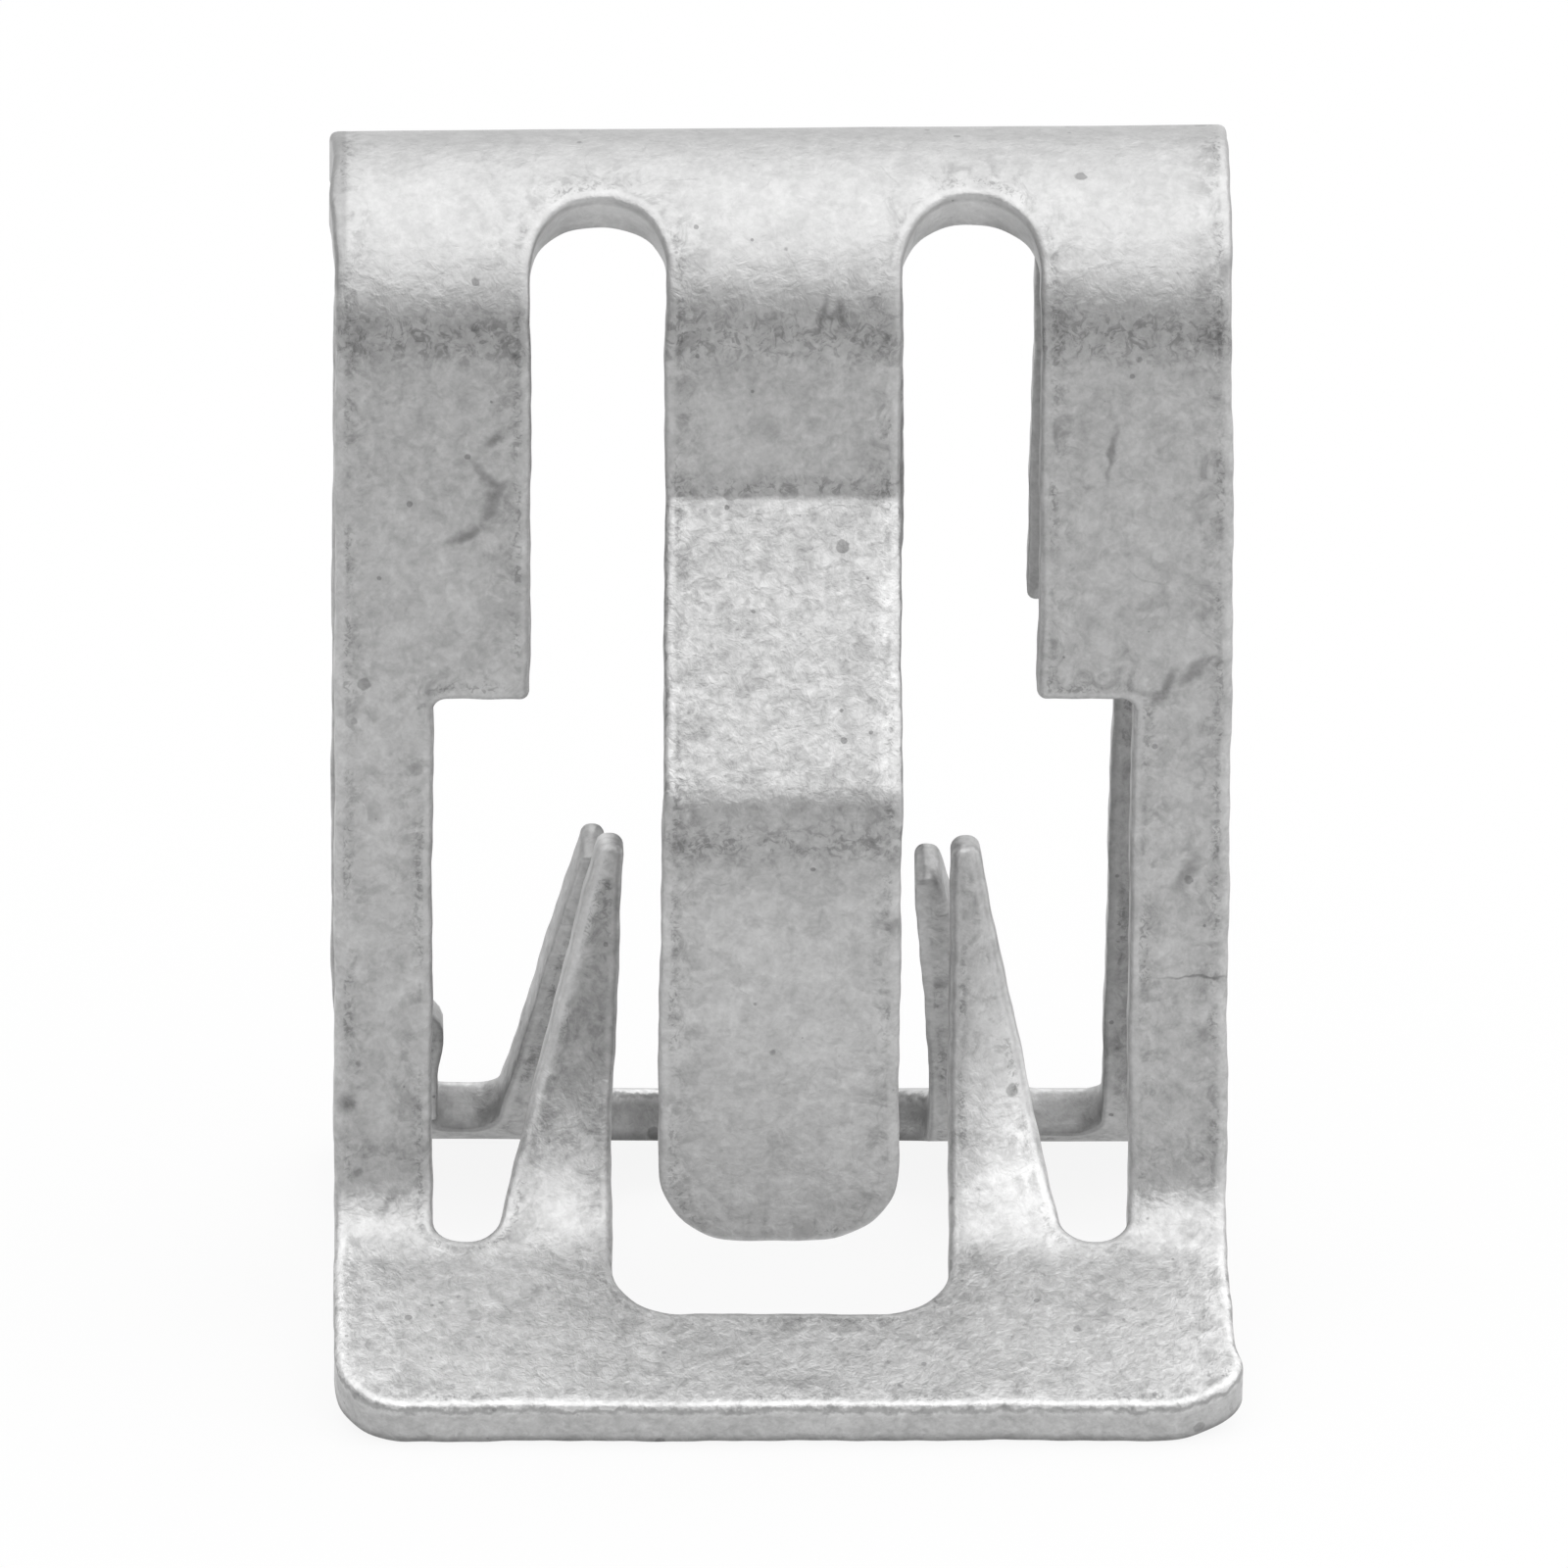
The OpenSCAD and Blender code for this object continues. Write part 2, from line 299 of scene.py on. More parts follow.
def barb_path(barb, back):
    """Mid-line points and headings of a barb at distances back from its root: leaning less and less, then straight."""
    start, _ = along(LEG_PATH, np.array([s_barb(barb["low"])]))
    d = np.linspace(0.0, 8.0, 801)
    lean = np.radians(barb["low"] + (barb["high"] - barb["low"]) * smooth(d, 0.0, BARB_CURVE))
    step = d[1] - d[0]
    across = start[0, 0] - np.concatenate([[0.0], np.cumsum(np.sin(lean[1:] / 2 + lean[:-1] / 2))]) * step
    up = start[0, 1] + np.concatenate([[0.0], np.cumsum(np.cos(lean[1:] / 2 + lean[:-1] / 2))]) * step
    point = np.stack([np.interp(back, d, across), np.interp(back, d, up)], 1)
    return point, np.interp(back, d, lean) - math.pi / 2


def waves(t, seed, parts):
    """A smooth wander: sums of sine waves of the given lengths and heights, with seeded phases."""
    rng = np.random.default_rng(seed)
    total = np.zeros(len(t))
    for wavelength, height in parts:
        total += height * np.sin(2 * math.pi * t / wavelength + rng.uniform(0, 2 * math.pi))
    return total


def bell(t, middle, width):
    return np.exp(-(((t - middle) / width) ** 2))


def smooth(t, first, last):
    """0 before first, 1 after last, and an easy curve between them."""
    k = np.clip((t - first) / (last - first), 0.0, 1.0)
    return k * k * (3 - 2 * k)


def rounded_loop(corners):
    """Points round a closed outline of (x, y, corner radius), no further apart than the edge step.

    A radius that is too large for its edges is made to fit them.
    """
    rough = []
    count = len(corners)
    for i in range(count):
        before, here, after = (np.array(corners[j % count][:2]) for j in (i - 1, i, i + 1))
        radius = corners[i][2]
        if radius <= 0:
            rough.append(here)
            continue
        back = (before - here) / np.linalg.norm(before - here)
        on = (after - here) / np.linalg.norm(after - here)
        half = math.acos(float(np.clip(back @ on, -1, 1))) / 2
        tangent = min(
            radius / math.tan(half),
            0.4995 * np.linalg.norm(before - here),
            0.4995 * np.linalg.norm(after - here),
        )
        radius = tangent * math.tan(half)
        centre = here + (back + on) / np.linalg.norm(back + on) * radius / math.sin(half)
        first = math.atan2(*(here + back * tangent - centre)[::-1])
        sweep = math.atan2(*(here + on * tangent - centre)[::-1]) - first
        sweep = (sweep + math.pi) % (2 * math.pi) - math.pi
        steps = max(3, math.ceil(abs(sweep) * radius / (0.7 * EDGE_STEP)), math.ceil(abs(sweep) / 0.26))
        for j in range(steps + 1):
            turn = first + sweep * j / steps
            rough.append(centre + radius * np.array([math.cos(turn), math.sin(turn)]))
    points = []
    for a, b in zip(rough, rough[1:] + rough[:1]):
        gap = np.linalg.norm(b - a)
        if gap < 1e-3:
            continue
        steps = math.ceil(gap / EDGE_STEP)
        points.extend(a + (b - a) * j / steps for j in range(steps))
    return np.array(points)


def hole_side(leg, side):
    """Corners of one half of a leg's opening, from the tongue's end round to the middle window's bottom."""
    barb = BARBS[leg, side]
    s_root = s_barb(barb["lean"])
    s_tip = s_root - barb["run"]
    tip_r = TIP_ROUND * (barb["outer"] - barb["inner"])
    corners = [
        (TONGUE_END_HALF, S_TONGUE, TONGUE_END_R),
        (TONGUE_HALF, S_CREASE, 0.0),
        (TONGUE_HALF, S_SLOT, SLOT_OUTER),
        (SLOT_OUTER, S_SLOT, SLOT_OUTER),
        (SLOT_OUTER, S_WINDOW, STEP_R),
        (WINDOW_HALF, S_WINDOW, WINDOW_TOP_R),
        (WINDOW_HALF, S_SMALL, SMALL_WINDOW_R),
        (barb["root"], S_SMALL, SMALL_WINDOW_R),
        (barb["outer"], s_tip, tip_r),
        (barb["inner"], s_tip, tip_r),
        (MID_HALF, s_root - KINK, KINK_R),
        (MID_HALF, S_MID, MID_R),
    ]
    return [(side * x, leg * s, r) for x, s, r in corners]


def hole_loop(leg):
    """The one opening of a leg, in the flat: slots, windows and the gaps beside tongue and barbs."""
    return rounded_loop(hole_side(leg, 1) + hole_side(leg, -1)[::-1])


def outer_loop():
    """The strip's outline, in the flat, with the feet's round corners."""
    return rounded_loop([
        (STRIP_HALF, S_EDGE, FOOT_CORNER_R),
        (-STRIP_HALF, S_EDGE, FOOT_CORNER_R),
        (-STRIP_HALF, -S_EDGE, FOOT_CORNER_R),
        (STRIP_HALF, -S_EDGE, FOOT_CORNER_R),
    ])


def wandered(loop, inward, seed):
    """The loop with the small unevenness of a stamped edge."""
    lengths = np.linalg.norm(np.roll(loop, -1, 0) - loop, axis=1)
    t = np.concatenate([[0.0], np.cumsum(lengths)[:-1]])
    total = lengths.sum()
    parts = [(total / round(total / length), height) for length, height in EDGE_WAVES]
    return loop + inward * waves(t, seed, parts)[:, None]


def turned_left(directions):
    return np.stack([-directions[:, 1], directions[:, 0]], 1)


def inward_normals(loop, hole):
    """Directions from the edge into the sheet, lengthened at corners so that rings keep their distance."""
    ahead = np.roll(loop, -1, 0) - loop
    ahead /= np.linalg.norm(ahead, axis=1)[:, None]
    behind = np.roll(ahead, 1, 0)
    area = 0.5 * np.sum(loop[:, 0] * np.roll(loop[:, 1], -1) - np.roll(loop[:, 0], -1) * loop[:, 1])
    turn = (1 if area > 0 else -1) * (-1 if hole else 1)
    normal = turn * (turned_left(ahead) + turned_left(behind))
    normal /= np.linalg.norm(normal, axis=1)[:, None]
    across = np.abs(np.sum(normal * turned_left(ahead), axis=1))
    return normal / np.clip(across, 0.75, 1.0)[:, None]


def inside_sheet(points, loops):
    """Whether each flat point lies on the sheet: inside an odd number of the loops."""
    odd = np.zeros(len(points), bool)
    for loop in loops:
        x0, y0 = loop.T
        x1, y1 = np.roll(loop, -1, 0).T
        for first in range(0, len(points), 4000):
            px, py = (v[:, None] for v in points[first:first + 4000].T)
            crosses = (y0 > py) != (y1 > py)
            rise = np.where(y1 == y0, 1.0, y1 - y0)
            hit = crosses & (px < x0 + (py - y0) * (x1 - x0) / rise)
            odd[first:first + 4000] ^= (hit.sum(1) % 2).astype(bool)
    return odd


def edge_distance(points, edge_points):
    """Distance from each flat point to the nearest edge point."""
    best = np.empty(len(points))
    for first in range(0, len(points), 2000):
        block = points[first:first + 2000]
        gap = block[:, None, :] - edge_points[None, :, :]
        best[first:first + 2000] = np.sqrt((gap ** 2).sum(2).min(1))
    return best


def grid_points(loops):
    """Staggered rows of flat points on the sheet, clear of the innermost rings."""
    rows = []
    rise = GRID_STEP * ROW_RISE
    for k in range(int(2 * S_EDGE / rise) + 1):
        x = np.arange(-STRIP_HALF + (k % 2) * GRID_STEP / 2, STRIP_HALF, GRID_STEP)
        rows.append(np.stack([x, np.full(len(x), -S_EDGE + k * rise)], 1))
    points = np.vstack(rows)
    points = points[inside_sheet(points, loops)]
    clear = edge_distance(points, np.vstack(loops)) > ROLL[0][0] + GRID_CLEAR * GRID_STEP
    return points[clear]


def filled(rings, grid):
    """Triangles between flat rings and grid points, as indices into rings first and grid after."""
    points = np.vstack(rings + [grid])
    edges = []
    first = 0
    for ring in rings:
        n = len(ring)
        edges += [(first + i, first + (i + 1) % n) for i in range(n)]
        first += n
    result = delaunay_2d_cdt([Vector(p) for p in points], edges, [], 0, 1e-6, True)
    where, faces, origins = result[0], result[2], result[3]
    origin = np.array([o[0] if o else -1 for o in origins])
    tri = np.array([f for f in faces if len(f) == 3])
    flat = np.array([tuple(v) for v in where])
    keep = inside_sheet(flat[tri].mean(1), rings)
    tri = origin[tri[keep]]
    return tri[(tri >= 0).all(1)]


def barb_area(u, s):
    """Whether flat points lie where the barbs are, or beside them on the foot bend."""
    return (np.abs(u) > TONGUE_SPAN) & (np.abs(u) < BARB_SPAN) & (s > S_BARBS)


def barb_twist(barb, off_side, s):
    """How far a barb's face tips up or down across its width."""
    far = (s_barb(barb["lean"]) - s) / barb["run"]
    off = off_side - (barb["inner"] + barb["outer"]) / 2 - (1 - far) * BARB_SPREAD
    slope = math.tan(math.radians(barb["twist"])) * off + barb["curl"] * off ** 2 / 2
    return -slope * (1 - smooth(s, S_BEND - 0.9, S_SMALL))


def fold(flat, depth):
    """Flat points, that far below the outer face, folded into place in mm."""
    u, v = flat.T
    s = np.abs(v)
    leg = np.where(v < 0, -1, 1)
    point, heading = along(LEG_PATH, s)
    tongue = (np.abs(u) < TONGUE_SPAN) & (s < S_GAP)
    on_tongue = tongue & (s > S_CREASE)
    point[on_tongue], heading[on_tongue] = along(TONGUE_PATH, s[on_tongue])
    twist = np.zeros(len(u))
    for (which, side), barb in BARBS.items():
        around = (leg == which) & (side * u > 0) & barb_area(u, s)
        root = s_barb(barb["low"])
        mine = around & (s < root)
        point[mine], heading[mine] = barb_path(barb, root - s[mine])
        mine = around & (s < S_SMALL)
        twist[mine] = barb_twist(barb, side * u[mine], s[mine])
    height = SHEET / 2 - depth + twist
    p = point[:, 0] - np.sin(heading) * height
    z = point[:, 1] + np.cos(heading) * height
    return np.stack([u, -leg * p, z], 1), s, leg, tongue


def side_edges(side, s, leg):
    """How far the side edges stand out from the ideal strip, with their sign."""
    right = RIGHT_NOSE * (1 - smooth(s, 1.8, 6.5)) + RIGHT_FOOT * smooth(s, 12.0, 14.0)
    for height, middle, width in RIGHT_SWELLS:
        right = right + height * bell(s, middle, width)
    left = LEFT_NOSE * (1 - smooth(s, 1.2, 2.0))
    for height, middle, width in LEFT_SWELLS:
        left = left + height * bell(s, middle, width)
    return np.where(side > 0, np.where(leg > 0, right, np.minimum(right, 0)), -left)


def set_aside(s, back, tongue):
    """How far legs and tongues are set to one side, and how much further the back tongue is from its ramp on."""
    on_back = np.where(tongue, BACK_TONGUE_SHIFT, BACK_SHIFT)
    on_front = np.where(tongue, FRONT_TONGUE_SHIFT, 0.0)
    shift = np.where(back, on_back, on_front) * smooth(s, 1.0, 3.0)
    return shift, BACK_RAMP_SHIFT * smooth(s, 4.5, 7.0) * tongue * back


def back_bump(x, s, back):
    """The lump on the inner edge of the back leg's left rail, beside its small window."""
    bump = smooth(s, S_BEND - 0.6, S_BEND - 0.2) * (1 - 0.3 * smooth(s, S_BEND - 0.1, S_BEND + 0.4))
    across = smooth(x, -STRIP_HALF, -WINDOW_HALF - 0.1) * (x < -4.3)
    return BACK_BUMP * bump * across * back * (s < S_SMALL - 0.3)


def departed(place, s, leg, tongue):
    """The small ways in which the real clip isn't straight and square, in mm."""
    x, y, z = place.T.copy()
    side = np.sign(x)
    back = leg < 0
    out = smooth(np.abs(x), EDGE_FADE, STRIP_HALF)
    x = x + out * side_edges(side, s, leg)
    x = x + SWAY * np.sin(0.55 * z + 1.3) * (1 - out)
    z = z + (NOSE_RISE + NOSE_TILT * x / STRIP_HALF) * smooth(z, NOSE_Z - 0.5, CLIP_H)

    trim = BACK_TRIM * smooth(s, 3.0, 17.0) + BACK_FOOT_TRIM * smooth(s, S_BEND - 1.5, S_BEND + 0.5)
    x = x + trim * out * back * (side < 0)
    rail = smooth(x, 4.3, 4.6) * (1 - smooth(x, 4.9, 5.8)) * smooth(s, S_WINDOW, S_WINDOW + 0.5)
    x = x - BACK_RAIL * rail * back
    z = z + BACK_FOOT_LIFT * smooth(-x, 1.0, 4.5) * smooth(s, S_BEND, S_BEND + 1.5) * back

    turn = math.radians(BACK_SKEW) * np.where(back & ~tongue, smooth(s, 1.0, 4.0), 0.0)
    shift, ramp_shift = set_aside(s, back, tongue)
    x = x + shift + ramp_shift
    drop = NOSE_Z - z
    grounded = smooth(z, 0.6, 3.2)
    x, z = x - drop * np.sin(turn), z - x * np.sin(turn) * grounded
    x = x + back_bump(x, s, back)

    across = waves(x + 0.37 * z, ACROSS_SEED, ACROSS_WAVES)
    down = waves(z - 0.21 * x, DOWN_SEED, DOWN_WAVES)
    return np.stack([x, y + across + down, z], 1)


def barb_edge(barb, s):
    """How far a barb's outer edge is from the middle plane, less a little so that it lies on the rolled edge."""
    s_tip = s_barb(barb["lean"]) - barb["run"]
    return barb["outer"] - 0.12 + (barb["root"] - barb["outer"]) * (s - s_tip) / (S_SMALL - s_tip)


def barb_painted_light(u, s, area):
    """Painted light on the front barbs: highlights at the right one's root and along the left one's edge, shade over
    the left one and light over the right one.
    """
    right_edge = barb_edge(BARBS[1, 1], s) - 0.05
    left_edge = -0.04 - barb_edge(BARBS[1, -1], s)
    root = smooth(u, 2.1, 3.2) * bell(s, S_BEND - 0.7, 1.8)
    root_edge_highlight = bell(u, right_edge, 0.22) * bell(s, S_BEND, 0.7)
    ridge = bell(u, left_edge, 0.075) * (1 - smooth(s, S_BEND - 0.9, S_BEND))
    face = np.where(u < 0, PAINTED_LIGHT_AND_TONE["left_barb_shade"], PAINTED_LIGHT_AND_TONE["right_barb_light"])
    face = face * (1 - smooth(s, S_BEND - 0.6, S_BEND + 1.0))
    # Painted highlights at the right barb's root and along the left barb's edge.
    edges = PAINTED_LIGHT_AND_TONE["barb_root"] * root + PAINTED_LIGHT_AND_TONE["root_edge_highlight"] * root_edge_highlight + PAINTED_LIGHT_AND_TONE["barb_ridge_highlight"] * ridge
    return area * (edges + face)


def leg_painted_light_and_tone(u, s, leg):
    """Painted light on the legs: a highlight at the foot bend, brightening lower down, shade below the nose and the
    front barbs' own; the front leg's left is also brighter above the bend.
    """
    area = (leg > 0) & barb_area(u, s)
    left_leg = (leg > 0) & (u < -SLOT_OUTER) & ~area
    above_bend = smooth(s, 3.5, 6.5) * (1 - smooth(s, S_BEND - 1.2, S_BEND - 0.2))
    # Painted highlight at the foot bend and painted light lower down.
    painted_light_and_tone = PAINTED_LIGHT_AND_TONE["foot_bend"] * bell(s, S_BEND + 0.95, 0.5) + PAINTED_LIGHT_AND_TONE["low_leg_light"] * smooth(s, 5.0, 9.0)
    painted_light_and_tone = painted_light_and_tone + barb_painted_light(u, s, area) + PAINTED_LIGHT_AND_TONE["left_leg"] * left_leg * above_bend
    # Painted shade in a band below the nose.
    return painted_light_and_tone + PAINTED_LIGHT_AND_TONE["below_nose_shade"] * bell(s, S_NOSE - 0.30, 0.35)


def tongue_painted_light_and_tone(u, s, leg, ramp):
    """Painted light on the tongues: brightening at their lower ends, a highlight on the front ramp's right rim and
    shade below the nose; the ramp is also darker.
    """
    # Painted highlight along the front ramp's right rim.
    right_rim_highlight = (leg > 0) * bell(u, TONGUE_HALF - 0.20, 0.09)
    on_ramp = ramp * (PAINTED_LIGHT_AND_TONE["ramp_rim_highlight"] * right_rim_highlight + PAINTED_LIGHT_AND_TONE["ramp"])
    end = PAINTED_LIGHT_AND_TONE["tongue_end_light"] * smooth(s, S_SHOULDER + 0.6, S_SHOULDER + 1.6)
    return end + on_ramp + PAINTED_LIGHT_AND_TONE["above_tongue_shade"] * bell(s, S_NOSE - 0.55, 0.28)


def surface_zones(u, s, leg, tongue):
    """Where the coating is granular, on ramp and feet; crazed, beside the bends; and painted brighter or darker,
    mostly as painted light and shade.
    """
    ramp = smooth(s, S_CREASE + 0.2, S_CREASE + 0.45) * (1 - smooth(s, S_SHOULDER - 0.25, S_SHOULDER))
    foot = smooth(s, S_BEND + 1.2, S_BEND + 2.2)
    crease = CRAZED["crease"] * bell(s, S_CREASE - 0.02, 0.2)
    shoulder = CRAZED["shoulder"] * bell(s, S_SHOULDER + 0.35, 0.3)
    foot_bend = CRAZED["foot_bend"] * bell(s, S_BEND - 0.05, 0.3)
    nose = CRAZED["nose"] * bell(s, S_NOSE - 0.2, 0.36)
    return {
        "grainy": np.where(tongue, ramp, foot),
        "creased": np.where(tongue, crease + shoulder, foot_bend) + nose,
        "painted_light_and_tone": np.where(tongue, tongue_painted_light_and_tone(u, s, leg, ramp), leg_painted_light_and_tone(u, s, leg)),
    }


def sheet_loops():
    """The flat sheet's outer edge and two openings, with their directions into the sheet."""
    loops, normals = [], []
    outlines = ((outer_loop(), False), (hole_loop(1), True), (hole_loop(-1), True))
    for (loop, hole), seed in zip(outlines, EDGE_SEEDS):
        loop = wandered(loop, inward_normals(loop, hole), seed)
        loops.append(loop)
        normals.append(inward_normals(loop, hole))
    return loops, normals


def ring_faces(first, n):
    """Quads between the rings of one loop of n points, the first of which has that index."""
    faces = []
    for k in range(len(RINGS) - 1):
        for i in range(n):
            a, b = first + k * n + i, first + k * n + (i + 1) % n
            faces.append((a, b, b + n, a + n))
    return faces


def flat_sheet():
    """The sheet laid flat: points, their depths below the outer face, distances from the edge, and faces."""
    loops, normals = sheet_loops()
    grid = grid_points(loops)
    grid_rim = edge_distance(grid, np.vstack(loops))
    blocks, faces, starts = [], [], []
    count = 0
    for loop, normal in zip(loops, normals):
        starts.append(count)
        blocks += [(loop + normal * inset, below, inset) for inset, below in RINGS]
        faces += ring_faces(count, len(loop))
        count += len(loop) * len(RINGS)
    for number in (0, len(RINGS) - 1):
        inset, below = RINGS[number]
        rings = [loop + normal * inset for loop, normal in zip(loops, normals)]
        index = [start + number * len(loop) + np.arange(len(loop)) for loop, start in zip(loops, starts)]
        index.append(count + np.arange(len(grid)))
        tri = np.concatenate(index)[filled(rings, grid)]
        faces += map(tuple, (tri if below else tri[:, ::-1]).tolist())
        blocks.append((grid, below, grid_rim))
        count += len(grid)
    flat = np.vstack([points for points, _, _ in blocks])
    depth = np.concatenate([np.full(len(points), below) for points, below, _ in blocks])
    rim = np.concatenate([np.zeros(len(points)) + inset for points, _, inset in blocks])
    return flat, depth, rim, faces


def sheet_mesh(place, faces, zones):
    """A smooth mesh with outward normals and one point attribute for each zone."""
    mesh = bpy.data.meshes.new("clip_sheet")
    mesh.from_pydata(place.tolist(), [], faces)
    for name, values in zones.items():
        mesh.attributes.new(name, "FLOAT", "POINT").data.foreach_set("value", values.astype(np.float32))
    work = bmesh.new()
    work.from_mesh(mesh)
    bmesh.ops.recalc_face_normals(work, faces=work.faces)
    work.to_mesh(mesh)
    work.free()
    mesh.shade_smooth()
    return mesh


def build_clip():
    """The clip's fine mesh: outer face, rolled edge, wall and inner face."""
    flat, depth, rim, faces = flat_sheet()
    place, s, leg, tongue = fold(flat, depth)
    zones = {"rim": rim, "wall": depth / SHEET, **surface_zones(flat[:, 0], s, leg, tongue)}
    mesh = sheet_mesh(departed(place, s, leg, tongue) * MM, faces, zones)
    clip = bpy.data.objects.new("clip_sheet", mesh)
    bpy.context.collection.objects.link(clip)
    weighted = clip.modifiers.new("even_normals", "WEIGHTED_NORMAL")
    weighted.weight = 60
    return clip


class Nodes:
    """Short calls for a material's or world's nodes."""

    def __init__(self, owner):
        owner.use_nodes = True
        self.tree = owner.node_tree
        self.tree.nodes.clear()

    def add(self, kind, inputs=(), **settings):
        node = self.tree.nodes.new(kind)
        for name, value in settings.items():
            setattr(node, name, value)
        for key, value in dict(inputs).items():
            if isinstance(value, bpy.types.NodeSocket):
                self.tree.links.new(value, node.inputs[key])
            else:
                node.inputs[key].default_value = value
        return node

    def math(self, operation, a, b=0.0, c=0.0):
        return self.add("ShaderNodeMath", {0: a, 1: b, 2: c}, operation=operation).outputs[0]

    def product(self, *factors):
        result = factors[0]
        for factor in factors[1:]:
            result = self.math("MULTIPLY", result, factor)
        return result

    def darkened(self, tone, mask, amount=1.0):
        return self.math("MULTIPLY", tone, self.math("SUBTRACT", 1.0, self.math("MULTIPLY", mask, amount)))

    def seen_directly(self):
        """1 for rays from the camera and from reflections and transmissions, 0 for those that only light the part."""
        path = self.add("ShaderNodeLightPath").outputs
        mirrored = self.math("MAXIMUM", path["Is Glossy Ray"], path["Is Transmission Ray"])
        return self.math("MAXIMUM", path["Is Camera Ray"], mirrored)

    def noise(self, vector, scale, detail=2.0, roughness=0.5, distortion=0.0):
        node = self.add("ShaderNodeTexNoise", {
            "Vector": vector, "Scale": scale, "Detail": detail, "Roughness": roughness, "Distortion": distortion,
        })
        return node.outputs["Fac"]

    def swing(self, *noise):
        """Noise about 0 in place of 0.5."""
        return self.math("SUBTRACT", self.noise(*noise), 0.5)

    def ramp(self, value, low, high, out_low=0.0, out_high=1.0):
        """A smooth step of value from low to high."""
        node = self.add("ShaderNodeMapRange", {
            "Value": value, "From Min": low, "From Max": high, "To Min": out_low, "To Max": out_high,
        }, interpolation_type="SMOOTHSTEP")
        return node.outputs[0]

    def mix(self, factor, a, b):
        """Mixes two plain numbers."""
        return self.add("ShaderNodeMix", {0: factor, 2: a, 3: b}, data_type="FLOAT").outputs[0]

    def grey(self, value):
        return self.add("ShaderNodeCombineColor", {0: value, 1: value, 2: value}).outputs[0]


# Marks on the front leg and tongue, in mm: middle x and z, half length, half width, angle from upright
MARKS = [
    (0.50, 15.05, 0.17, 0.035, 10.0), (0.76, 15.02, 0.15, 0.04, -14.0), (0.63, 15.0, 0.15, 0.035, 78.0),
    (-3.86, 13.30, 0.15, 0.05, 52.0), (-3.98, 12.75, 0.22, 0.05, -38.0), (-3.88, 12.42, 0.18, 0.06, 28.0),
    (-4.26, 11.92, 0.22, 0.05, 62.0), (5.12, 9.72, 0.22, 0.05, 32.0), (5.50, 9.95, 0.20, 0.07, 44.0),
    (5.41, 7.02, 0.20, 0.07, 24.0), (5.60, 5.50, 0.32, 0.014, 88.0), (1.45, 7.07, 0.09, 0.07, 5.0),
    (-5.82, 3.70, 0.10, 0.09, 0.0), (-3.60, 8.55, 0.10, 0.04, 60.0), (4.35, 13.10, 0.26, 0.035, 8.0),
    (-5.30, 2.30, 0.12, 0.05, 40.0), (-3.10, 14.60, 0.14, 0.04, 20.0), (5.85, 15.60, 0.12, 0.05, 5.0),
]


def zinc_clouds(n, mm):
    """Cloudy grey of the coating, near 1: soft clouds, small patches and fine grain."""
    tone = n.product(n.swing(mm, 0.7, 2.0), 0.22)
    for scale, detail, rough, bend, height in CLOUDS:
        wave = n.swing(mm, scale, detail, rough, bend)
        tone = n.math("ADD", tone, n.product(wave, height))
    patches = n.ramp(n.noise(mm, 3.4, 3.0, 0.6, 0.7), 0.40, 0.56, -0.06, 0.05)
    return n.math("ADD", tone, n.math("ADD", patches, 1.0))


def zinc_specks(n, mm):
    """Scattered dark specks of many sizes, from 0 to 1."""
    specks = 0.0
    for scale, least, more in SPECKS:
        cells = n.add("ShaderNodeTexVoronoi", {"Vector": mm, "Scale": scale}).outputs
        chance = n.add("ShaderNodeSeparateColor", {0: cells["Color"]}).outputs[0]
        radius = n.math("MULTIPLY_ADD", n.math("POWER", chance, 3.0), more, least)
        ragged = n.math("ADD", cells["Distance"], n.product(n.noise(mm, 9.0), 0.10))
        inside = n.math("SUBTRACT", n.math("ADD", radius, 0.05), ragged)
        specks = n.math("MAXIMUM", specks, n.ramp(inside, 0.0, 0.035))
    return specks


def zinc_scratches(n, mm):
    """Short curved hairlines, from 0 to 1."""
    line = n.math("ABSOLUTE", n.swing(mm, 0.9, 1.0, 0.4, 0.6))
    where = n.ramp(n.noise(mm, 1.3, 1.0), 0.60, 0.68)
    return n.product(n.ramp(line, 0.010, 0.002), where)


def zinc_marks(n, mm):
    """The larger dark marks seen on the front, from 0 to 1."""
    blur = n.add("ShaderNodeTexNoise", {"Vector": mm, "Scale": 4.0, "Detail": 2.0}).outputs["Color"]
    shift = n.add("ShaderNodeVectorMath", {0: blur, 1: (0.5, 0.5, 0.5)}, operation="SUBTRACT").outputs[0]
    uneven = {0: shift, 1: (0.20, 0.20, 0.20), 2: mm}
    uneven = n.add("ShaderNodeVectorMath", uneven, operation="MULTIPLY_ADD").outputs[0]
    marks = 0.0
    for x, z, half_length, half_width, angle in MARKS:
        local = n.add("ShaderNodeMapping", {
            "Vector": uneven, "Location": (x, 0, z), "Rotation": (0, math.radians(angle), 0),
            "Scale": (half_width, 1000, half_length),
        }, vector_type="TEXTURE").outputs[0]
        away = n.add("ShaderNodeVectorMath", {0: local}, operation="LENGTH").outputs["Value"]
        marks = n.math("MAXIMUM", marks, n.ramp(away, 2.4, 0.3))
    front = n.ramp(n.add("ShaderNodeSeparateXYZ", {0: mm}).outputs[1], 0.0, -1.0)
    return n.product(marks, front)


def coat_tone(n, mm, height, crumb, zones):
    """Grey of the clean coating: calmer on the nose, with painted light and shade added, and crumbly where granular.
    """
    calm = n.ramp(height, 14.4, 15.4, 0.0, 0.45)
    clouds = n.mix(calm, zinc_clouds(n, mm), 1.0)
    tone = n.product(n.math("ADD", clouds, zones["painted_light_and_tone"]), ZINC_GREY)
    crumbly = n.math("MULTIPLY_ADD", n.math("SUBTRACT", crumb, 0.5), 0.36, 0.02)
    return n.math("MULTIPLY_ADD", zones["grainy"], crumbly, tone)


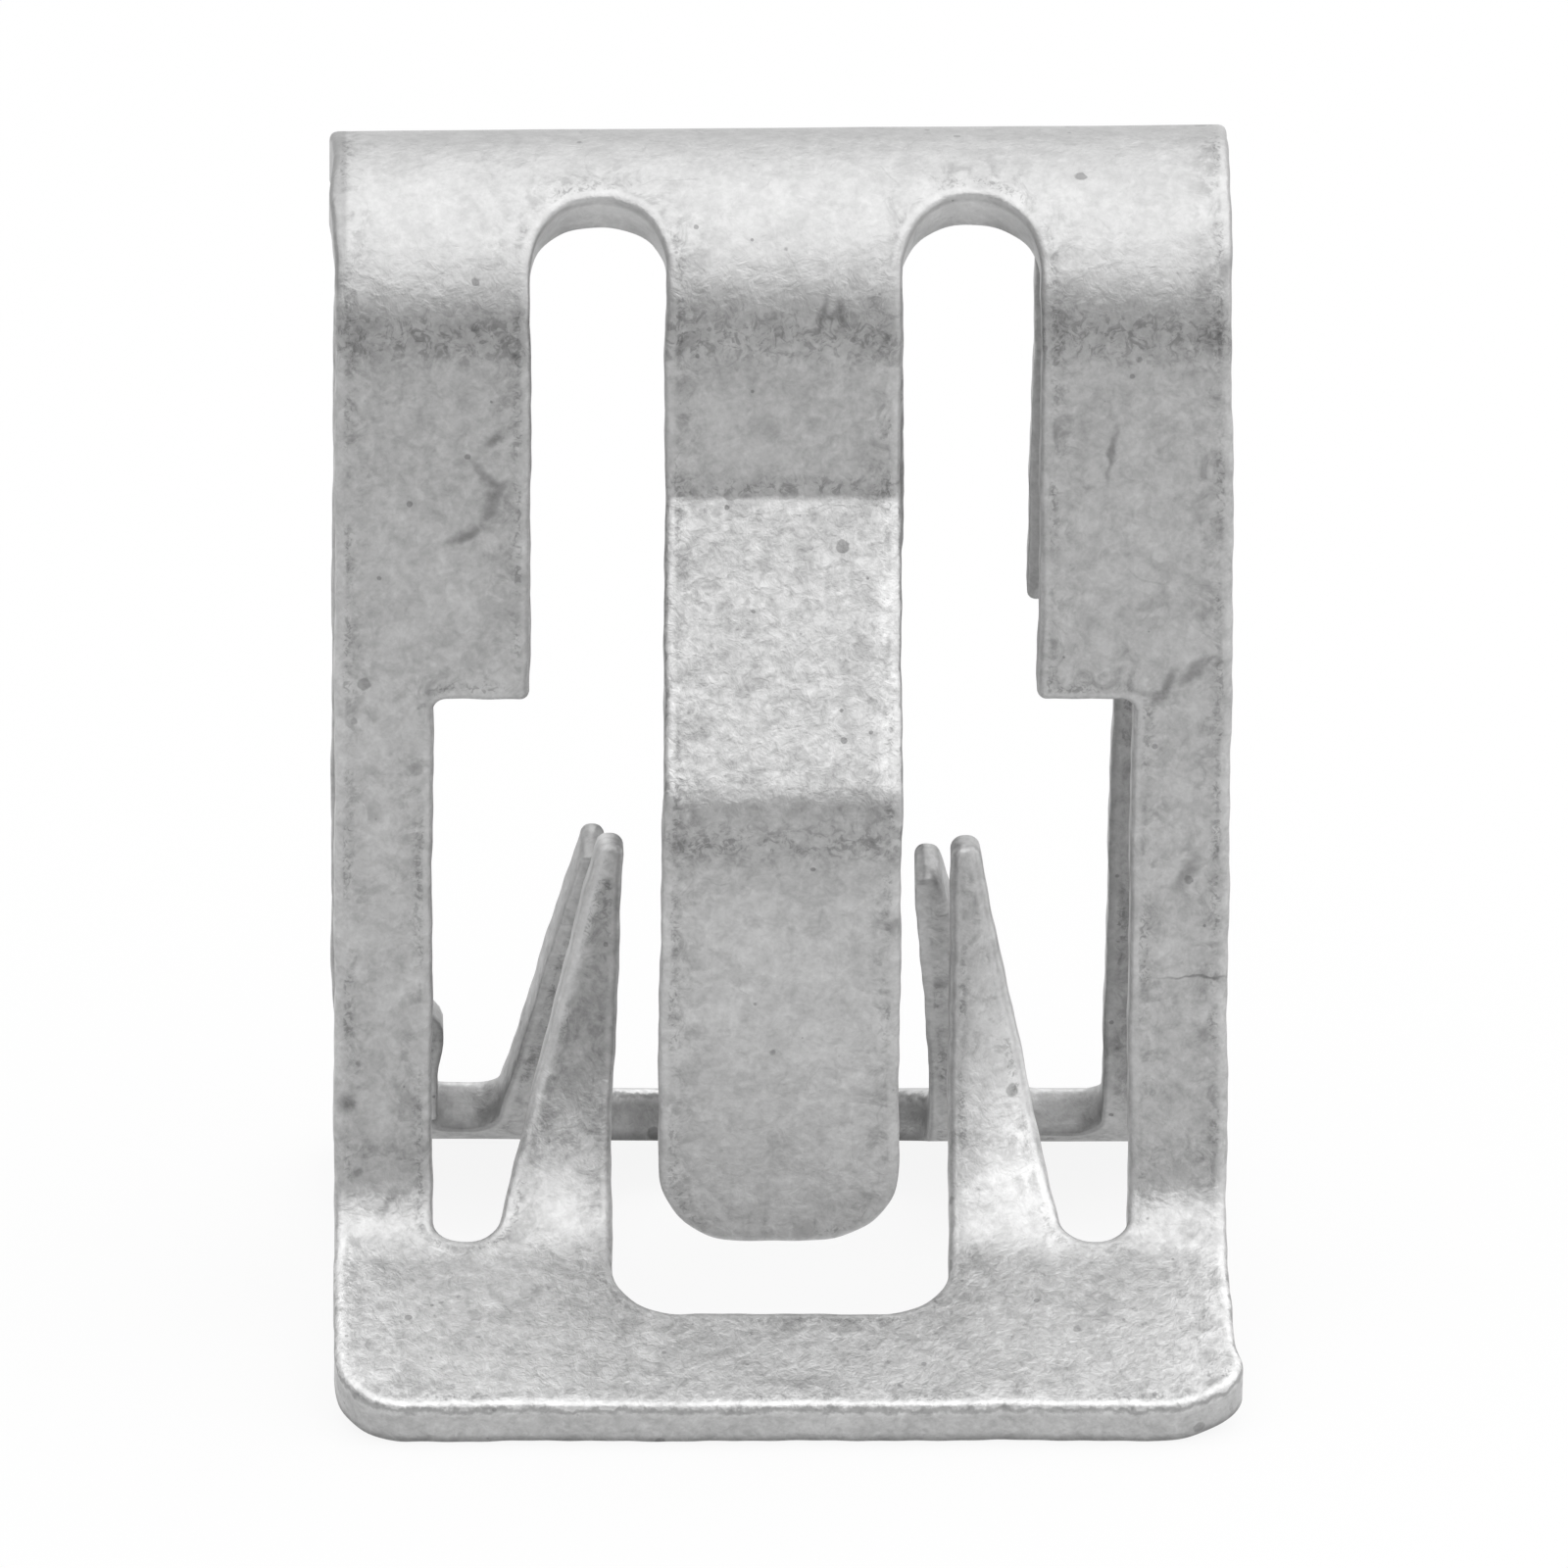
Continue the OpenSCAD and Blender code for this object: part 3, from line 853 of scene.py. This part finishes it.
def marked_tone(n, mm, tone, specks, zones):
    """The grey with specks, scratches, large marks, crazing beside the bends, and grime along the edges."""
    rim = zones["rim"]
    tone = n.darkened(tone, specks, DARKER["specks"])
    tone = n.darkened(tone, zinc_scratches(n, mm), DARKER["scratches"])
    tone = n.darkened(tone, zinc_marks(n, mm), DARKER["marks"])

    craze = n.ramp(n.noise(mm, 5.5, 4.0, 0.68, 1.2), 0.46, 0.62)
    tone = n.darkened(tone, n.product(zones["creased"], n.math("MULTIPLY_ADD", craze, 0.30, 0.06)))

    grime = n.product(n.ramp(rim, 0.12, 0.18), n.ramp(rim, 0.80, 0.20))
    grime = n.product(grime, n.ramp(n.noise(mm, 2.4, 4.0, 0.72, 0.8), 0.47, 0.64))
    tone = n.darkened(tone, grime, DARKER["grime"])
    beside = n.product(n.ramp(rim, 0.10, 0.14), n.ramp(rim, 0.32, 0.18))
    beside = n.product(beside, n.ramp(n.noise(mm, 10.0, 2.0, 0.7, 1.0), 0.48, 0.62))
    beside = n.product(beside, n.ramp(n.noise(mm, 0.9, 2.0), 0.42, 0.58))
    return n.darkened(tone, beside, DARKER["beside_edge"])


def edged_tone(n, mm, tone, height, zones):
    """The grey with painted highlights on the rims, painted shade on the top of the nose, a torn line below the rims,
    and painted shade on walls and inner edges, most of it at the feet.
    """
    rim, wall, grainy = zones["rim"], zones["wall"], zones["grainy"]
    # Painted highlights near the rims, strongest on feet and ramp, and painted shade on the top of the nose.
    tone = n.math("MULTIPLY_ADD", n.product(n.ramp(rim, 0.60, 0.12), grainy), 0.035, tone)
    tone = n.darkened(tone, n.ramp(height, 16.35, 16.6), DARKER["nose_top_shade"])
    # Painted highlight on the rolled rims.
    brighter = n.math("MULTIPLY_ADD", grainy, 0.06, 0.04)
    tone = n.math("MULTIPLY_ADD", n.ramp(rim, 0.18, 0.05), brighter, tone)

    jag = n.math("MULTIPLY_ADD", n.swing(mm, 6.0, 3.0, 0.6), 0.35, wall)
    torn = n.product(n.ramp(jag, 0.04, 0.10), n.ramp(jag, 0.24, 0.13))
    tone = n.darkened(tone, n.product(torn, n.math("MULTIPLY_ADD", grainy, 0.32, 0.06)))
    # Painted shade on the inner edges, and on feet and ramp on the walls too.
    inner_edge_shade = n.product(n.ramp(wall, 0.74, 0.96), n.ramp(rim, 0.12, 0.03))
    tone = n.darkened(tone, n.product(inner_edge_shade, n.math("MULTIPLY_ADD", grainy, 0.40, 0.02)))
    return n.darkened(tone, n.product(n.ramp(wall, 0.12, 0.34), grainy), DARKER["foot_wall_shade"])


def placed_tone(n, mm, tone, zones):
    """The grey with painted shade on the back leg low down, painted highlights on the slot tops, and darker ends of
    the nose.
    """
    rim, wall = zones["rim"], zones["wall"]
    x, y, z = n.add("ShaderNodeSeparateXYZ", {0: mm}).outputs
    # Painted shade on the back leg's low edges and inner face.
    back = n.ramp(y, 0.0, 1.2)
    back_edge_shade = n.product(back, n.ramp(wall, 0.10, 0.35), n.ramp(rim, 0.08, 0.03), n.ramp(z, 4.0, 3.0))
    tone = n.darkened(tone, back_edge_shade, DARKER["back_edge_shade"])
    back_face_shade = n.product(back, n.ramp(wall, 0.90, 1.0), n.ramp(z, 9.5, 7.5))
    tone = n.darkened(tone, back_face_shade, DARKER["back_face_shade"])
    # Painted highlight on the walls at the slot tops.
    slot_top_highlight = n.product(n.ramp(wall, 0.08, 0.25), n.ramp(rim, 0.08, 0.03), n.ramp(z, 14.2, 15.2))
    tone = n.product(tone, n.math("MULTIPLY_ADD", slot_top_highlight, 0.36, 1.0))
    end = n.ramp(n.math("ABSOLUTE", n.math("SUBTRACT", x, 0.04)), 5.85, 5.93)
    return n.darkened(tone, n.product(end, n.ramp(z, 15.25, 15.45)), DARKER["nose_lip"])


def coat_relief(n, mm, crumb, specks, grainy):
    """The coating's slight unevenness, as a bump."""
    relief = n.product(n.noise(mm, 1.8, 4.0, 0.6, 0.4), 0.6)
    relief = n.math("MULTIPLY_ADD", n.noise(mm, 5.0, 3.0, 0.6, 0.8), 0.30, relief)
    relief = n.math("MULTIPLY_ADD", n.product(crumb, grainy), 0.30, relief)
    relief = n.math("MULTIPLY_ADD", specks, -0.06, relief)
    return n.add("ShaderNodeBump", {"Strength": 0.6, "Distance": 0.00008, "Height": relief}).outputs[0]


def zinc_material():
    """Dull zinc coating: cloudy greys, dark specks, scratches, crazed bends, painted highlights on the rolled edges,
    and other painted light and shade.
    """
    material = bpy.data.materials.new("zinc_coating")
    n = Nodes(material)
    place = n.add("ShaderNodeTexCoord").outputs["Object"]
    mm = n.add("ShaderNodeVectorMath", {0: place, 3: 1 / MM}, operation="SCALE").outputs[0]
    height = n.add("ShaderNodeSeparateXYZ", {0: mm}).outputs[2]
    zones = {
        name: n.add("ShaderNodeAttribute", attribute_name=name).outputs["Fac"]
        for name in ("rim", "wall", "grainy", "creased", "painted_light_and_tone")
    }
    crumb = n.noise(mm, 5.8, 3.0, 0.68, 0.8)
    specks = zinc_specks(n, mm)
    tone = coat_tone(n, mm, height, crumb, zones)
    tone = marked_tone(n, mm, tone, specks, zones)
    tone = edged_tone(n, mm, tone, height, zones)
    tone = placed_tone(n, mm, tone, zones)
    rough = n.math("MULTIPLY_ADD", n.noise(mm, 4.5, 3.0, 0.55, 0.8), 0.22, 0.38)
    rough = n.math("MULTIPLY_ADD", specks, 0.15, rough)
    surface = n.add("ShaderNodeBsdfPrincipled", {
        "Base Color": n.grey(tone), "Metallic": 0.8, "Roughness": rough,
        "Normal": coat_relief(n, mm, crumb, specks, zones["grainy"]),
    })
    n.add("ShaderNodeOutputMaterial", {0: surface.outputs[0]})
    return material


def diffuse(n, grey):
    return n.add("ShaderNodeBsdfDiffuse", {0: (grey, grey, grey, 1)}).outputs[0]


def floor_material():
    """A white floor that is full white to the camera and to reflections, less a faint shadow."""
    material = bpy.data.materials.new("floor_white")
    n = Nodes(material)
    glow = n.add("ShaderNodeEmission", {0: (1, 1, 1, 1), 1: FLOOR_GLOW}).outputs[0]
    seen = n.add("ShaderNodeAddShader", {0: glow, 1: diffuse(n, FLOOR_MATTE)}).outputs[0]
    mixed = n.add("ShaderNodeMixShader", {0: n.seen_directly(), 1: diffuse(n, FLOOR_PLAIN), 2: seen})
    n.add("ShaderNodeOutputMaterial", {0: mixed.outputs[0]})
    return material


def plain_piece(name, verts, faces, material):
    """A piece of that name, made of those faces in one material."""
    mesh = bpy.data.meshes.new(name)
    mesh.from_pydata(verts, [], faces)
    mesh.materials.append(material)
    piece = bpy.data.objects.new(name, mesh)
    bpy.context.collection.objects.link(piece)
    return piece


def make_floor():
    corners = [(-1, -1), (1, -1), (1, 1), (-1, 1)]
    verts = [(x * FLOOR_HALF, y * FLOOR_HALF, 0) for x, y in corners]
    floor = plain_piece("floor", verts, [(0, 1, 2, 3)], floor_material())


def make_world():
    world = bpy.data.worlds.new("studio")
    bpy.context.scene.world = world
    n = Nodes(world)
    strength = n.mix(n.seen_directly(), WORLD_PLAIN, WORLD_SEEN)
    back = n.add("ShaderNodeBackground", {0: (1, 1, 1, 1), 1: strength})
    n.add("ShaderNodeOutputWorld", {0: back.outputs[0]})


def add_light(name, place, size, radiance):
    """A soft rectangular light of that radiance, aimed at the middle of the clip."""
    data = bpy.data.lights.new(name, "AREA")
    data.shape = "RECTANGLE"
    data.size, data.size_y = size
    data.energy = radiance * math.pi * size[0] * size[1]
    light = bpy.data.objects.new(name, data)
    bpy.context.collection.objects.link(light)
    aim = Vector((0, 0, CLIP_H * MM / 2))
    light.location = place
    light.rotation_euler = (aim - light.location).to_track_quat("-Z", "Y").to_euler()


def card_material():
    """Dark, and clear to the camera."""
    material = bpy.data.materials.new("dark_card")
    n = Nodes(material)
    camera_ray = n.add("ShaderNodeLightPath").outputs["Is Camera Ray"]
    clear = n.add("ShaderNodeBsdfTransparent").outputs[0]
    mixed = n.add("ShaderNodeMixShader", {0: camera_ray, 1: diffuse(n, CARD_GREY), 2: clear})
    n.add("ShaderNodeOutputMaterial", {0: mixed.outputs[0]})
    return material


def make_card():
    """A dark card round the front and left, behind the camera, which the clip mirrors and the camera sees through."""
    verts, faces = [], []
    for k in range(CARD_STEPS + 1):
        turn = math.radians(CARD_FROM + (CARD_TO - CARD_FROM) * k / CARD_STEPS)
        foot = (CARD_RADIUS * math.sin(turn), -CARD_RADIUS * math.cos(turn))
        verts += [(*foot, 0.0), (*foot, CARD_HEIGHT)]
        if k:
            faces.append((2 * k - 2, 2 * k, 2 * k + 1, 2 * k - 1))
    card = plain_piece("dark_card", verts, faces, card_material())


def make_lights():
    for name, place, size, radiance in LIGHTS:
        add_light(name, Vector(place), size, radiance)


def make_camera():
    """The fitted camera: its own axes from elevation, yaw and roll, aimed at the middle of the frame."""
    lift, yaw, roll = (math.radians(v) for v in (CAM_ELEVATION, CAM_YAW, CAM_ROLL))
    towards = Vector((-math.sin(yaw) * math.cos(lift), -math.cos(yaw) * math.cos(lift), math.sin(lift)))
    right = Vector((math.cos(yaw), -math.sin(yaw), 0))
    up = towards.cross(right)
    right, up = right * math.cos(roll) + up * math.sin(roll), up * math.cos(roll) - right * math.sin(roll)
    aside = (FRAME_PX / 2 - CENTRE_PX) / PX_PER_MM
    aim = (Vector((0, 0, AIM_Z)) + right * aside) * MM
    data = bpy.data.cameras.new("camera")
    data.sensor_width = SENSOR
    data.lens = SENSOR * CAM_DISTANCE * PX_PER_MM / FRAME_PX
    data.clip_start = 0.01
    camera = bpy.data.objects.new("camera", data)
    bpy.context.collection.objects.link(camera)
    turn = Matrix((right, up, towards)).transposed()
    camera.matrix_world = Matrix.Translation(aim + towards * CAM_DISTANCE * MM) @ turn.to_4x4()
    bpy.context.scene.camera = camera


def main():
    clip = build_clip()
    clip.data.materials.append(zinc_material())
    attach(clip, "root")
    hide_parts(NODE)
    make_floor()
    make_world()
    make_card()
    make_lights()
    make_camera()
    bpy.context.scene.view_settings.view_transform = "Standard"


main()
